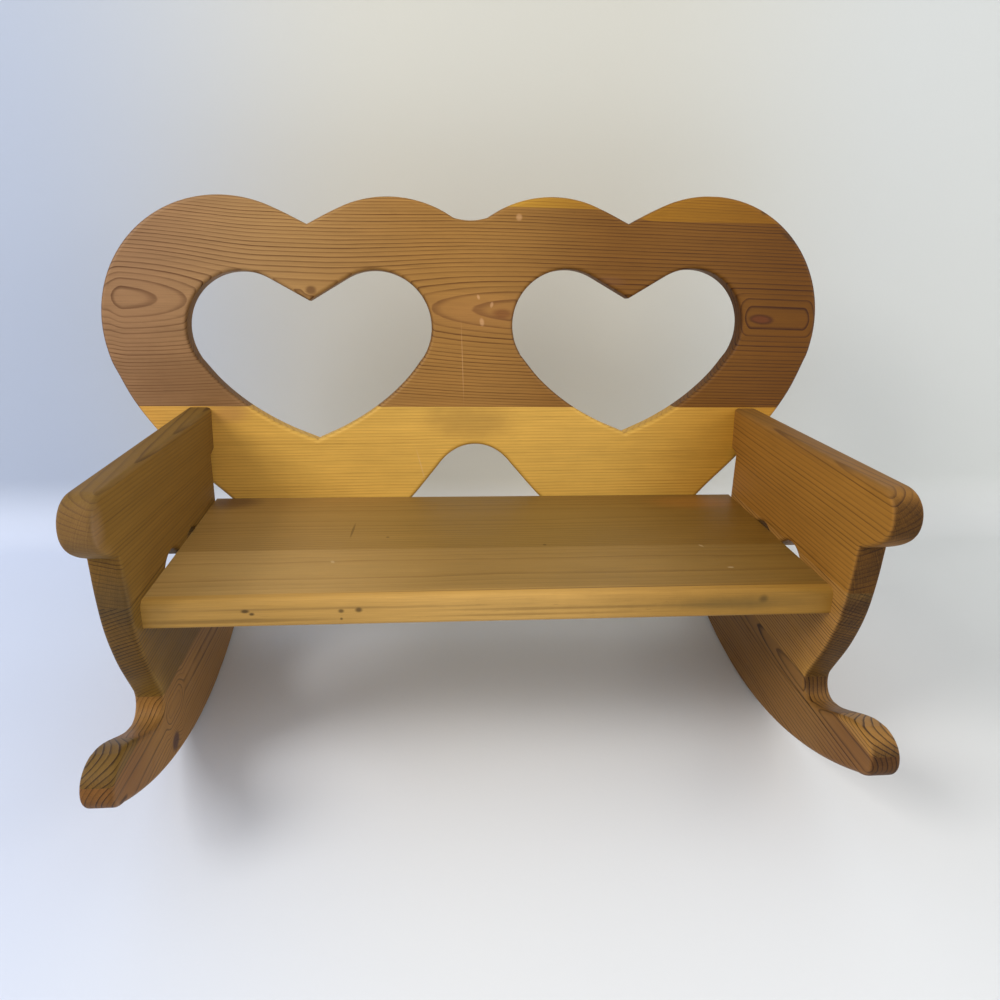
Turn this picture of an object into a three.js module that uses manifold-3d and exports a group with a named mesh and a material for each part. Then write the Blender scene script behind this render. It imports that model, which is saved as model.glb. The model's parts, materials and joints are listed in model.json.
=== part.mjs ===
// A doll-sized rocking bench in edge-glued pine: a back of two joined hearts, a plank seat, and two
// sides that are arm, leg and rocker in one. Millimetres, +Z up, the sitter faces -Y, and the bench
// stands on z = 0 the way it comes to rest.
//
// The boards are laid out in the bench's own frame: x across, y back from the seat's front edge,
// z up from the seat's top. The whole bench then leans back until its weight is over its rockers.

import * as THREE from 'three';
import { mergeVertices } from 'three/addons/utils/BufferGeometryUtils.js';
import Module from 'manifold-3d';

const wasm = await Module();
wasm.setup();

// Boards
const board_thickness = 19;
const edge_round = 3.2;
const fit_gap = 0.3;
const cut_overrun = 12;

// Seat, two boards glued edge to edge
const seat_length = 444;
const seat_depth = 196;
const seat_front_board_width = 80;
const seat_front_round = 5;
const seat_left_corner_radius = 6;
const seat_right_corner_radius = 14;

// Back, two boards glued edge to edge; heights run up its slope from the seat's top, and offsets
// run out from its middle. It sits a little to the left, and its hearts were traced slightly askew.
const back_recline = 6.1;
const back_left_shift = 4.5;
const back_glue_height = 77.5;
const heart_skew = 1.2;
const outer_lobe_radius = 98;
const outer_lobe_inset = 25;
const outer_lobe_height = 148.5;
const inner_lobe_radius = 94;
const inner_lobe_offset = 66;
const inner_lobe_height = 151.5;
const cleft_lift = 4.5;
const valley_height = 227.5;
const valley_half_width = 14;
const waist_inner_offset = 54;
const waist_outer_inset = 19;
const waist_height = 1;
const heart_point_drop = 64;
const heart_point_round = 12;
const arch_height = 45.5;
const arch_shoulder_offset = 32;
const arch_shoulder_height = 27;

// Heart-shaped holes in the back
const hole_half_width = 98;
const hole_height = 144;

// Sides, each of three boards glued edge to edge. A reach runs ahead of the seat's front edge and
// a set runs behind it; a height is above the seat's top and a drop is below it.
const arm_front_height = 82;
const arm_back_height = 76;
const arm_brow_reach = 30;
const arm_nose_reach = 50;
const arm_nose_height = 65;
const arm_underside_height = 38;
const arm_heel_height = 44;
const arm_heel_step = 6;
const leg_front_reach = 20;
const leg_rear_set = 192;
const leg_rear_drop = 45;
const neck_set = 16.5;
const neck_drop = 73;
const instep_set = 5.5;
const instep_drop = 90.3;
const foot_top_reach = 54;
const foot_top_drop = 69;
const foot_tip_reach = 75;
const foot_tip_drop = 84;
const sole_reach = 60;
const rocker_radius = 370;
const rocker_set = 115;
const rocker_drop = 143.3;
const rest_flat = 30;
const upper_glue_height = 4.5;
const lower_glue_drop = 78;

// Small hearts cut through the sides, their lobes just showing over the seat
const side_heart_half_width = 46;
const side_heart_set = 94;
const side_heart_drop = 17.6;
const side_heart_tilt = 3.5;

// Flat-head wood screws under wooden plugs
const screw_length = 32;
const screw_radius = 2.1;
const screw_head_radius = 4.1;
const screw_head_height = 2.9;
const screw_point_length = 7;
const screw_point_radius = 0.4;
const plug_radius = 5;
const plug_depth = 5;
const plug_chamfer = 0.6;
const side_screw_front_set = 24;
const side_screw_rear_set = 168;
const back_screw_spread = 33;
const arm_screw_height = 60;

// Fineness of the curves
const facet_turn = 8;
const turn_samples = 24;
const rocker_facet_turn = 1.5;
const edge_facets = 2;
const screw_sides = 10;
const plug_sides = 20;
const weld_distance = 1e-4;

// How each free curve bends between the two points that named sizes place: how far across and how
// far up from its first point to its second its two handles lie.
const brow_shares = [0.6, 0, 1, 0.41];
const nose_shares = [0, 0.48, 0.47, 0.73];
const leg_front_shares = [0.09, 0.34, 0.06, 0.52];
const neck_shares = [-0.36, 0.4, -0.14, 1.07];
const instep_shares = [0.3, 0.06, 0.67, 0.95];
const toe_shares = [0.55, -0.03, 0.98, 0.33];
const sole_shares = [0, 0.43, 0.33, 0.78];
const heel_neck_shares = [0.47, -0.04, 0.94, 0.4];
const arch_shares = [0.38, 0, 0.72, 0.33];
const heart_fall_shares = [0.48, 0.55, 0.81, 0.89];
const heart_rise_shares = [0.19, 0.11, 0.52, 0.45];
const flank_shares = [0.53, 0.36, 0.86, 0.69];

// A heart-shaped hole, in shares of its half width from the middle between its lobes
const hole_lobe_share = 0.54;
const hole_cleft_share = 0.22;
const hole_point_share = 0.935;
const hole_side_shares = [0.62, 0.695];

const radians = THREE.MathUtils.degToRad;
const heart_flank_angle = radians(-20);
const hole_flank_angle = radians(-34);
const recline = radians(back_recline);
const right_angle = Math.PI / 2;
const outer_lobe_offset = seat_length / 2 - outer_lobe_inset;
const waist_outer_offset = seat_length / 2 - waist_outer_inset;
const heart_middle = (outer_lobe_offset + inner_lobe_offset) / 2;

const pine_upper_back = new THREE.MeshStandardMaterial({ color: 0x9a6a3e, roughness: 0.55 });
const pine_lower_back = new THREE.MeshStandardMaterial({ color: 0xb98a45, roughness: 0.55 });
const pine_seat = new THREE.MeshStandardMaterial({ color: 0x8f6a3c, roughness: 0.5 });
const pine_seat_front = new THREE.MeshStandardMaterial({ color: 0xa67a40, roughness: 0.5 });
const pine_side = new THREE.MeshStandardMaterial({ color: 0x85602f, roughness: 0.55 });
const pine_rocker = new THREE.MeshStandardMaterial({ color: 0x75522f, roughness: 0.55 });
const pine_plug = new THREE.MeshStandardMaterial({ color: 0xa07443, roughness: 0.55 });
const steel = new THREE.MeshStandardMaterial({ color: 0xb9bcc0, roughness: 0.35, metalness: 1 });

// Curves and outlines

const point = (x, y) => new THREE.Vector2(x, y);
const line = (from, to) => new THREE.LineCurve(from, to);

function bend(from, to, shares) {
  const across = to.x - from.x;
  const up = to.y - from.y;
  const first = point(from.x + shares[0] * across, from.y + shares[1] * up);
  const second = point(from.x + shares[2] * across, from.y + shares[3] * up);
  return new THREE.CubicBezierCurve(from, first, second, to);
}

function arc(centre, radius, start, end) {
  return new THREE.EllipseCurve(centre.x, centre.y, radius, radius, start, end, end < start);
}

const onArc = (centre, radius, angle) => point(
  centre.x + radius * Math.cos(angle),
  centre.y + radius * Math.sin(angle),
);

// Straight facets enough for a curve that none of them turns by more than facet_turn.
function facetsOf(curve) {
  let turn = 0;
  for (let i = 0; i < turn_samples; i += 1) {
    const before = curve.getTangent(i / turn_samples);
    const after = curve.getTangent((i + 1) / turn_samples);
    turn += Math.abs(Math.atan2(before.cross(after), before.dot(after)));
  }
  return Math.max(1, Math.ceil(turn / radians(facet_turn)));
}

// The corners of a run of curves, each starting where the one before ends, without the last corner.
function corners(curves) {
  return curves.flatMap((curve) => curve.getPoints(facetsOf(curve)).slice(0, -1));
}

// Where a straight run from a point touches an arc, as the angle there; side is 1 or -1.
function angleToward(from, centre, radius, side) {
  const toward = from.clone().sub(centre);
  return toward.angle() + side * Math.acos(radius / toward.length());
}

// The upper of the two points where two arcs cross, the first one to the right.
function upperCrossing(first, first_radius, second, second_radius) {
  const apart = first.clone().sub(second);
  const length = apart.length();
  const along = (length ** 2 + second_radius ** 2 - first_radius ** 2) / (2 * length);
  const across = Math.sqrt(second_radius ** 2 - along ** 2);
  const angle = apart.angle() + Math.atan2(across, along);
  return onArc(second, second_radius, angle);
}

const mirrored = (points, x) => points.map((p) => point(2 * x - p.x, p.y)).reverse();
const shifted = (points, x, y) => points.map((p) => point(p.x + x, p.y + y));
const spun = (points, degrees) => points.map(
  (p) => p.clone().rotateAround(point(0, 0), radians(degrees)),
);

// Solids

function solid(geometry) {
  const bare = geometry.clone();
  bare.deleteAttribute('normal');
  bare.deleteAttribute('uv');
  const welded = mergeVertices(bare, weld_distance);
  return new wasm.Manifold(new wasm.Mesh({
    numProp: 3,
    vertProperties: new Float32Array(welded.attributes.position.array),
    triVerts: new Uint32Array(welded.index.array),
  }));
}

function geometryOf(body) {
  const mesh = body.getMesh();
  const geometry = new THREE.BufferGeometry();
  geometry.setAttribute('position', new THREE.BufferAttribute(mesh.vertProperties, 3));
  geometry.setIndex(new THREE.BufferAttribute(mesh.triVerts, 1));
  const faceted = geometry.toNonIndexed();
  faceted.computeVertexNormals();
  return faceted;
}

// A board sawn to an outline, every arris rounded over, from z = -board_thickness to z = 0.
function roundedBoard(outline, holes) {
  const shape = new THREE.Shape(outline);
  shape.holes = holes.map((hole) => new THREE.Path(hole));
  const geometry = new THREE.ExtrudeGeometry(shape, {
    depth: board_thickness - 2 * edge_round,
    bevelThickness: edge_round,
    bevelSize: edge_round,
    bevelOffset: -edge_round,
    bevelSegments: edge_facets,
  });
  geometry.translate(0, 0, edge_round - board_thickness);
  return solid(geometry);
}

// A straight length of a section, from z = -length to z = 0.
function sawn(outline, length) {
  const shape = new THREE.Shape(outline);
  const geometry = new THREE.ExtrudeGeometry(shape, { depth: length, bevelEnabled: false });
  geometry.translate(0, 0, -length);
  return solid(geometry);
}

// What a cut keeps of a solid: everything between two levels of its own y.
function between(body, low, high) {
  const box = new THREE.Box3(
    new THREE.Vector3().fromArray(body.boundingBox().min),
    new THREE.Vector3().fromArray(body.boundingBox().max),
  ).expandByScalar(cut_overrun);
  box.min.y = Math.max(box.min.y, low);
  box.max.y = Math.min(box.max.y, high);
  const size = box.getSize(new THREE.Vector3());
  const slab = new THREE.BoxGeometry(size.x, size.y, size.z);
  slab.translate(...box.getCenter(new THREE.Vector3()).toArray());
  return body.intersect(solid(slab));
}

const toFrame = (body, matrix) => body.transform(matrix.toArray());

// Fasteners, drawn along +Z from the face that they enter

function turned(profile, sides) {
  const geometry = new THREE.LatheGeometry(profile, sides);
  geometry.rotateX(right_angle);
  return geometry;
}

const head_depth = plug_depth + fit_gap;
const shank_depth = head_depth + screw_head_height;
const tip_depth = head_depth + screw_length;

// LatheGeometry turns its profile about y, and rotateX takes y to z.
function screwGeometry() {
  return turned([
    point(0, head_depth),
    point(screw_head_radius, head_depth),
    point(screw_radius, shank_depth),
    point(screw_radius, tip_depth - screw_point_length),
    point(screw_point_radius, tip_depth),
    point(0, tip_depth),
  ], screw_sides);
}

function plugGeometry() {
  return turned([
    point(0, 0),
    point(plug_radius, 0),
    point(plug_radius, plug_depth - plug_chamfer),
    point(plug_radius - plug_chamfer, plug_depth),
    point(0, plug_depth),
  ], plug_sides);
}

function plugHole() {
  return solid(turned([
    point(0, -cut_overrun),
    point(plug_radius + fit_gap, -cut_overrun),
    point(plug_radius + fit_gap, head_depth),
    point(0, head_depth),
  ], plug_sides));
}

function screwHole() {
  return solid(turned([
    point(0, plug_depth),
    point(screw_head_radius + fit_gap, plug_depth),
    point(screw_head_radius + fit_gap, head_depth),
    point(screw_radius + fit_gap, shank_depth),
    point(screw_radius + fit_gap, tip_depth - screw_point_length),
    point(screw_point_radius + fit_gap, tip_depth + fit_gap),
    point(0, tip_depth + fit_gap),
  ], screw_sides));
}

// Frames of the back and the sides in the bench's frame

// x across, y up the back's slope, z out of its front face; the front face passes the seat's
// rear edge.
const back_frame = new THREE.Matrix4()
  .makeRotationX(right_angle - recline)
  .setPosition(-back_left_shift, seat_depth, 0);

// x back, y up, z to the right, from the plane at x_outer.
const sideFrame = (x_outer) => new THREE.Matrix4()
  .makeBasis(
    new THREE.Vector3(0, 1, 0),
    new THREE.Vector3(0, 0, 1),
    new THREE.Vector3(1, 0, 0),
  )
  .setPosition(x_outer, 0, 0);

// How far back the back's front face lies at a height over the seat.
const backPlane = (height) => seat_depth + height * Math.tan(recline);

// Heart-shaped hole about the middle between its lobes

function heartHole(half_width) {
  const lobe = point(hole_lobe_share * half_width, 0);
  const lobe_round = half_width - lobe.x;
  const cleft = point(0, hole_cleft_share * half_width);
  const tip = point(0, -hole_point_share * half_width);
  const side_handle = point(hole_side_shares[0] * half_width, -hole_side_shares[1] * half_width);
  const flank = onArc(lobe, lobe_round, hole_flank_angle);
  const brow_angle = angleToward(cleft, lobe, lobe_round, -1);
  const brow = onArc(lobe, lobe_round, brow_angle);
  const half = [...corners([
    new THREE.QuadraticBezierCurve(tip, side_handle, flank),
    arc(lobe, lobe_round, hole_flank_angle, brow_angle),
    line(brow, cleft),
  ]), cleft];
  return [...half, ...mirrored(half, 0).slice(1, -1)];
}

// Back: two joined hearts with a heart-shaped hole in each and an arch between their points

// The right half, from the top of the arch round its heart to the valley between the hearts.
function backHalf() {
  const arch_top = point(0, arch_height);
  const shoulder = point(arch_shoulder_offset, arch_shoulder_height);
  const waist_in = point(waist_inner_offset, waist_height);
  const waist_out = point(waist_outer_offset, waist_height);
  const tip = point(heart_middle, -heart_point_drop);
  const tip_in = point(tip.x - heart_point_round, tip.y + heart_point_round / 2);
  const tip_out = point(tip.x + heart_point_round, tip.y + heart_point_round / 2);
  const outer = point(outer_lobe_offset, outer_lobe_height);
  const inner = point(inner_lobe_offset, inner_lobe_height);
  const cleft = upperCrossing(outer, outer_lobe_radius, inner, inner_lobe_radius);
  cleft.y += cleft_lift;
  const valley = point(0, valley_height);
  const flank = onArc(outer, outer_lobe_radius, heart_flank_angle);
  const outer_angle = angleToward(cleft, outer, outer_lobe_radius, -1);
  const inner_angle = angleToward(cleft, inner, inner_lobe_radius, 1);
  const valley_angle = Math.acos((valley_half_width - inner_lobe_offset) / inner_lobe_radius);
  return corners([
    bend(arch_top, shoulder, arch_shares),
    line(shoulder, waist_in),
    bend(waist_in, tip_in, heart_fall_shares),
    new THREE.QuadraticBezierCurve(tip_in, tip, tip_out),
    bend(tip_out, waist_out, heart_rise_shares),
    bend(waist_out, flank, flank_shares),
    arc(outer, outer_lobe_radius, heart_flank_angle, outer_angle),
    line(onArc(outer, outer_lobe_radius, outer_angle), cleft),
    line(cleft, onArc(inner, inner_lobe_radius, inner_angle)),
    arc(inner, inner_lobe_radius, inner_angle, valley_angle),
    new THREE.QuadraticBezierCurve(
      onArc(inner, inner_lobe_radius, valley_angle),
      point(valley_half_width / 2, valley_height),
      valley,
    ),
  ]).concat(valley);
}

function backBoard() {
  const right = backHalf();
  const left = mirrored(right, 0);
  const hole = heartHole(hole_half_width);
  return roundedBoard(spun([...right, ...left.slice(1, -1)], heart_skew), [
    spun(shifted(hole, heart_middle, hole_height), heart_skew),
    spun(shifted(hole, -heart_middle, hole_height), heart_skew),
  ]);
}

// Sides: arm, leg and rocker in one outline, the heel a mirror image of the foot

const rocker_centre = point(rocker_set, rocker_radius - rocker_drop);
const sole_turn = Math.asin((rocker_set + sole_reach) / rocker_radius);
const flat_turn = Math.asin(rest_flat / 2 / rocker_radius);

// The tread under a rocker: an arc in facets, with one flat where it meets the floor at rest.
function tread(lean) {
  const stretch = (start, end) => arc(rocker_centre, rocker_radius, start, end)
    .getPoints(Math.ceil((end - start) / radians(rocker_facet_turn)));
  const rest = lean - right_angle;
  return [
    ...stretch(-right_angle - sole_turn, rest - flat_turn),
    ...stretch(rest + flat_turn, sole_turn - right_angle),
  ];
}

function sideOutline(lean) {
  const brow = point(-arm_brow_reach, arm_front_height);
  const nose = point(-arm_nose_reach, arm_nose_height);
  const armpit = point(-leg_front_reach, arm_underside_height);
  const neck = point(neck_set, -neck_drop);
  const instep = point(instep_set, -instep_drop);
  const foot_top = point(-foot_top_reach, -foot_top_drop);
  const foot_tip = point(-foot_tip_reach, -foot_tip_drop);
  const sole = onArc(rocker_centre, rocker_radius, -right_angle - sole_turn);
  const leg_rear = point(leg_rear_set, -leg_rear_drop);
  const heel_step = point(leg_rear_set, arm_heel_height - arm_heel_step);
  const arm_heel = point(backPlane(arm_heel_height), arm_heel_height);
  const arm_top = point(backPlane(arm_back_height), arm_back_height);

  const foot = corners([
    bend(instep, foot_top, instep_shares),
    bend(foot_top, foot_tip, toe_shares),
    bend(foot_tip, sole, sole_shares),
  ]);
  const heel = mirrored(foot, rocker_set);
  return [
    ...corners([
      line(arm_top, brow),
      bend(brow, nose, brow_shares),
      bend(nose, armpit, nose_shares),
      bend(armpit, neck, leg_front_shares),
      bend(neck, instep, neck_shares),
    ]),
    ...foot,
    ...tread(lean),
    ...heel.slice(0, -1),
    ...corners([
      bend(heel[heel.length - 1], leg_rear, heel_neck_shares),
      line(leg_rear, heel_step),
      line(heel_step, arm_heel),
    ]),
    // The arm's end runs on past the back's front face, where it is cut to it.
    arm_heel,
    point(arm_heel.x + cut_overrun, arm_heel.y),
    point(arm_top.x + cut_overrun, arm_top.y),
  ];
}

// The space behind the back's front face at the height of the arms, in a side's frame.
function armEndCut() {
  const depth = 4 * cut_overrun;
  const height = arm_back_height - arm_heel_height + 2 * cut_overrun;
  const geometry = new THREE.BoxGeometry(depth, height, board_thickness + 2 * cut_overrun);
  geometry.translate(depth / 2 - fit_gap / Math.cos(recline), 0, -board_thickness / 2);
  geometry.rotateZ(-recline);
  const middle_height = (arm_heel_height + arm_back_height) / 2;
  geometry.translate(backPlane(middle_height), middle_height, 0);
  return solid(geometry);
}

function sideBoard(lean) {
  const heart = spun(heartHole(side_heart_half_width), -side_heart_tilt);
  const board = roundedBoard(sideOutline(lean), [shifted(heart, side_heart_set, -side_heart_drop)]);
  return board.subtract(armEndCut());
}

// Seat: a plank with a rounded front edge, its rear edge sloped to the back and its rear corners cut

function seatSection() {
  const top = point(seat_front_round, -seat_front_round);
  const bottom = point(edge_round, edge_round - board_thickness);
  const rear = (height) => point(backPlane(height) - fit_gap / Math.cos(recline), height);
  return [
    ...corners([
      line(rear(0), point(top.x, 0)),
      arc(top, seat_front_round, right_angle, Math.PI),
      line(point(0, top.y), point(0, bottom.y)),
      arc(bottom, edge_round, Math.PI, Math.PI + right_angle),
      line(point(edge_round, -board_thickness), rear(-board_thickness)),
    ]),
    rear(-board_thickness),
  ];
}

function seatPlan() {
  const half = seat_length / 2;
  const right = point(half - seat_right_corner_radius, seat_depth - seat_right_corner_radius);
  const left = point(seat_left_corner_radius - half, seat_depth - seat_left_corner_radius);
  return [
    point(-half, -cut_overrun),
    point(half, -cut_overrun),
    ...corners([
      arc(right, seat_right_corner_radius, 0, right_angle),
      line(point(right.x, seat_depth), point(left.x, seat_depth)),
      arc(left, seat_left_corner_radius, right_angle, Math.PI),
    ]),
    point(-half, left.y),
  ];
}

function seatBoards() {
  const plank = sawn(seatSection(), seat_length);
  const frame = sideFrame(seat_length / 2);
  const plan = sawn(seatPlan(), board_thickness + 2 * cut_overrun);
  const plan_lift = new THREE.Matrix4().makeTranslation(0, 0, cut_overrun);
  const whole = toFrame(plank, frame).intersect(toFrame(plan, plan_lift));
  return {
    front: between(whole, -cut_overrun, seat_front_board_width - fit_gap / 2),
    rear: between(whole, seat_front_board_width + fit_gap / 2, seat_depth + cut_overrun),
  };
}

// Where each screw and its plug go: the middle of the seat's edge, through the sides and the back,
// and the middle of each arm's end, through the back

const fasteners = [];
const side_outer = seat_length / 2 + board_thickness;
const seat_middle_height = -board_thickness / 2;

for (const [side, sign] of [['left', -1], ['right', 1]]) {
  for (const [place, set] of [['front', side_screw_front_set], ['rear', side_screw_rear_set]]) {
    fasteners.push({
      name: `${side}_${place}_side`,
      frame: new THREE.Matrix4()
        .makeRotationY(-sign * right_angle)
        .setPosition(sign * side_outer, set, seat_middle_height),
    });
  }
}

for (const [side, sign] of [['left', -1], ['right', 1]]) {
  const arm_middle = seat_length / 2 + board_thickness / 2 + sign * back_left_shift;
  const places = [
    ['inner_back', heart_middle - back_screw_spread, seat_middle_height],
    ['outer_back', heart_middle + back_screw_spread, seat_middle_height],
    ['arm_back', arm_middle, arm_screw_height],
  ];
  for (const [place, offset, height] of places) {
    const on_back = new THREE.Matrix4()
      .makeTranslation(sign * offset, height / Math.cos(recline), -board_thickness);
    fasteners.push({ name: `${side}_${place}`, frame: back_frame.clone().multiply(on_back) });
  }
}

// The bench, put together in its own frame

const bench = new THREE.Group();
const screw_cut = screwHole().add(plugHole());

// A board as a mesh in its frame, with the holes of every screw that runs into it.
function addBoard(name, body, frame, material) {
  const into_board = frame.clone().invert();
  let bored = body;
  for (const fastener of fasteners) {
    const place = into_board.clone().multiply(fastener.frame);
    bored = bored.subtract(toFrame(screw_cut, place));
  }
  const mesh = new THREE.Mesh(geometryOf(bored), material);
  mesh.name = name;
  mesh.applyMatrix4(frame);
  bench.add(mesh);
}

function addFastener(name, geometry, frame, material) {
  const mesh = new THREE.Mesh(geometry, material);
  mesh.name = name;
  mesh.applyMatrix4(frame);
  bench.add(mesh);
}

// How far the bench leans back at rest: its centre of mass hangs under its rockers' centre.
function restingLean(boards) {
  const sum = new THREE.Vector3();
  const corner = [new THREE.Vector3(), new THREE.Vector3(), new THREE.Vector3()];
  let total = 0;
  for (const [body, frame] of boards) {
    const { position } = geometryOf(body).attributes;
    for (let i = 0; i < position.count; i += 3) {
      corner.forEach((c, k) => c.fromBufferAttribute(position, i + k).applyMatrix4(frame));
      const [a, b, c] = corner;
      const volume = a.dot(b.clone().cross(c)) / 6;
      sum.addScaledVector(a.clone().add(b).add(c), volume / 4);
      total += volume;
    }
  }
  const weight = sum.divideScalar(total);
  return Math.atan2(weight.y - rocker_centre.x, rocker_centre.y - weight.z);
}

const in_place = new THREE.Matrix4();
const left_frame = sideFrame(-seat_length / 2);
const right_frame = sideFrame(side_outer);
const seat = seatBoards();
const back = backBoard();
const rough_side = sideBoard(0);
const lean = restingLean([
  [seat.front, in_place],
  [seat.rear, in_place],
  [back, back_frame],
  [rough_side, left_frame],
  [rough_side, right_frame],
]);

addBoard('seat_front_board', seat.front, in_place, pine_seat_front);
addBoard('seat_rear_board', seat.rear, in_place, pine_seat);

const back_reach = outer_lobe_radius + outer_lobe_height + cut_overrun;
const upper_back = between(back, back_glue_height + fit_gap / 2, back_reach);
const lower_back = between(back, -back_reach, back_glue_height - fit_gap / 2);
addBoard('back_upper_board', upper_back, back_frame, pine_upper_back);
addBoard('back_lower_board', lower_back, back_frame, pine_lower_back);

const side_board = sideBoard(lean);
const lower_glue = -lower_glue_drop;
const arm = between(side_board, upper_glue_height + fit_gap / 2, arm_front_height + cut_overrun);
const rocker = between(side_board, -rocker_drop - cut_overrun, lower_glue - fit_gap / 2);
// Between the glue lines lie the leg and, on top of each foot, the strip that the saw left there.
const [toe, leg, heel] = between(side_board, lower_glue + fit_gap / 2, upper_glue_height - fit_gap / 2)
  .decompose()
  .sort((a, b) => a.boundingBox().max[0] - b.boundingBox().max[0]);

for (const [side, frame] of [['left', left_frame], ['right', right_frame]]) {
  addBoard(`${side}_arm_board`, arm, frame, pine_side);
  addBoard(`${side}_leg_board`, leg, frame, pine_side);
  addBoard(`${side}_rocker_board`, rocker, frame, pine_rocker);
  addBoard(`${side}_toe_strip`, toe, frame, pine_rocker);
  addBoard(`${side}_heel_strip`, heel, frame, pine_rocker);
}

for (const { name, frame } of fasteners) {
  addFastener(`${name}_screw`, screwGeometry(), frame, steel);
  addFastener(`${name}_plug`, plugGeometry(), frame, pine_plug);
}

bench.rotation.x = -lean;

// The origin is under the middle of the bench, on the floor.
const rocking_bench = new THREE.Group();
rocking_bench.add(bench);
rocking_bench.updateMatrixWorld(true);
const extent = new THREE.Box3().setFromObject(rocking_bench, true);
const middle = extent.getCenter(new THREE.Vector3());
bench.position.set(-middle.x, -middle.y, -extent.min.z);
rocking_bench.updateMatrixWorld(true);

export default rocking_bench;
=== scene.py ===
import json
import math

import bmesh
import bpy
from mathutils import Matrix, Vector

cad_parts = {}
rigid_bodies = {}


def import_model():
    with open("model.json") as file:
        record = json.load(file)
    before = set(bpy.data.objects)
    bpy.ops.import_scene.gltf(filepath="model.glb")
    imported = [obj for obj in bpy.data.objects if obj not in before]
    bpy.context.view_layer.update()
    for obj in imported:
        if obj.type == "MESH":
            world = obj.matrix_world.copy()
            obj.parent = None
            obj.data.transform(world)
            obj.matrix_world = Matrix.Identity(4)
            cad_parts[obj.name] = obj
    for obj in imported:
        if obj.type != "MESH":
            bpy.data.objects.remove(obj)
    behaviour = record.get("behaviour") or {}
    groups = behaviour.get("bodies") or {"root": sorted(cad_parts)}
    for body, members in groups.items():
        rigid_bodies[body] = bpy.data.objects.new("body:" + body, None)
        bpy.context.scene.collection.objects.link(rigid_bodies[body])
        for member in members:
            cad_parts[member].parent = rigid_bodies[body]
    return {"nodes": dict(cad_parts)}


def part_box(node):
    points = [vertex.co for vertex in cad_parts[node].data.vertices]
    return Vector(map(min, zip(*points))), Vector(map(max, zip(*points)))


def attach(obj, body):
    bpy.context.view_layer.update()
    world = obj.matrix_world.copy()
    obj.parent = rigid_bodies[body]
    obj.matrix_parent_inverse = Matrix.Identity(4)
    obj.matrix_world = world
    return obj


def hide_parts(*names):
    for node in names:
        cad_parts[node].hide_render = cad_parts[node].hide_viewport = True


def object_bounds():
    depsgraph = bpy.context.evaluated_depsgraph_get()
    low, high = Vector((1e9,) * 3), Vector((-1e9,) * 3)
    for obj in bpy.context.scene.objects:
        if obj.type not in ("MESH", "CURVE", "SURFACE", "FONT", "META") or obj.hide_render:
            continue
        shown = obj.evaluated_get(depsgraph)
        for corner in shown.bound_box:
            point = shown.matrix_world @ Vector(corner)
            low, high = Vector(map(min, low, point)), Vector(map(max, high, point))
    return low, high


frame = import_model()
cad_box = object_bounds()


# The back: two pine boards glued edge to edge and sawn to two joined hearts, with a heart-shaped
# hole in each. Every arris but those at the glue line is rounded over with a small router bit.
# Its outline is taken where the modelled boards are cut half way through, and made smooth there.

roundover = 0.0032
roundover_steps = 5
curve_steps = 8
arris_ring = 0.0003                # faces along the rounding that keep the flat of a board flat
weld = 0.00001
glue_gap = 0.0002                  # a point this near the glue line lies on it
joint = 0.00002                    # how far each board stands back from its glue line
crossing = 0.002                   # cut ends this near each other meet at the glue line
screw_hole_reach = 0.012           # a smaller loop is a screw hole, hidden under its plug
straight_turn = math.radians(0.4)  # a corner that turns less is none
corner_turn = math.radians(20)     # a corner that turns more stays sharp
straight_ratio = 2.2               # a facet this much longer than the next is a straight run
crease = math.radians(32)          # an edge that folds more is shaded sharp
level_enough = 0.9999              # a face that looks this much outward is part of the flat
faces_enough = 0.7                 # a face that looks this much a given way faces it


def axes(across, out):
    """The turn that takes a point of the frame into a board's own axes: along, up and out."""
    up = Vector(out).cross(Vector(across)).normalized()
    return Matrix((Vector(across).normalized(), up, Vector(out).normalized()))


def face_toward(node, direction):
    """The middle and normal of the largest face of a node that looks a given way."""
    mesh = frame["nodes"][node].data
    facing = [p for p in mesh.polygons if p.normal.dot(Vector(direction)) > faces_enough]
    face = max(facing, key=lambda p: p.area)
    return face.center.copy(), face.normal.copy()


def reach(nodes, turn):
    """The lowest and highest place of some nodes in a board's own axes."""
    places = [turn @ v.co for node in nodes for v in frame["nodes"][node].data.vertices]
    low = Vector([min(p[i] for p in places) for i in range(3)])
    high = Vector([max(p[i] for p in places) for i in range(3)])
    return low, high


def outline(nodes, turn, depth, glue_lines):
    """Closed loops of the points where glued boards are cut at a depth, glue lines left out."""
    cut = bmesh.new()
    for node in nodes:
        cut.from_mesh(frame["nodes"][node].data)
    cut.transform(turn.to_4x4())
    bmesh.ops.remove_doubles(cut, verts=cut.verts, dist=weld)
    every = cut.verts[:] + cut.edges[:] + cut.faces[:]
    bmesh.ops.bisect_plane(cut, geom=every, plane_co=(0, 0, depth), plane_no=(0, 0, 1),
                           clear_inner=True, clear_outer=True)
    glued = set()
    for level in glue_lines:
        on_line = {v for v in cut.verts if abs(v.co.y - level) < glue_gap}
        along = [e for e in cut.edges if e.verts[0] in on_line and e.verts[1] in on_line]
        bmesh.ops.delete(cut, geom=along, context="EDGES")
        ends = [v for v in on_line if v.is_valid and v.link_edges]
        bmesh.ops.remove_doubles(cut, verts=ends, dist=crossing)
        glued |= {v for v in ends if v.is_valid}
    loops, seen = [], set()
    for start in cut.verts:
        if start in seen or not start.link_edges:
            continue
        loop, here, last = [], start, None
        while here not in seen:
            seen.add(here)
            loop.append(here)
            ways = [e for e in here.link_edges if e is not last]
            last = ways[0]
            here = last.other_vert(here)
        points = [v.co.to_2d() for v in loop if v not in glued]
        size = max((p - points[0]).length for p in points)
        if size > screw_hole_reach:
            loops.append(without_straight_points(points))
    cut.free()
    return loops


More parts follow.
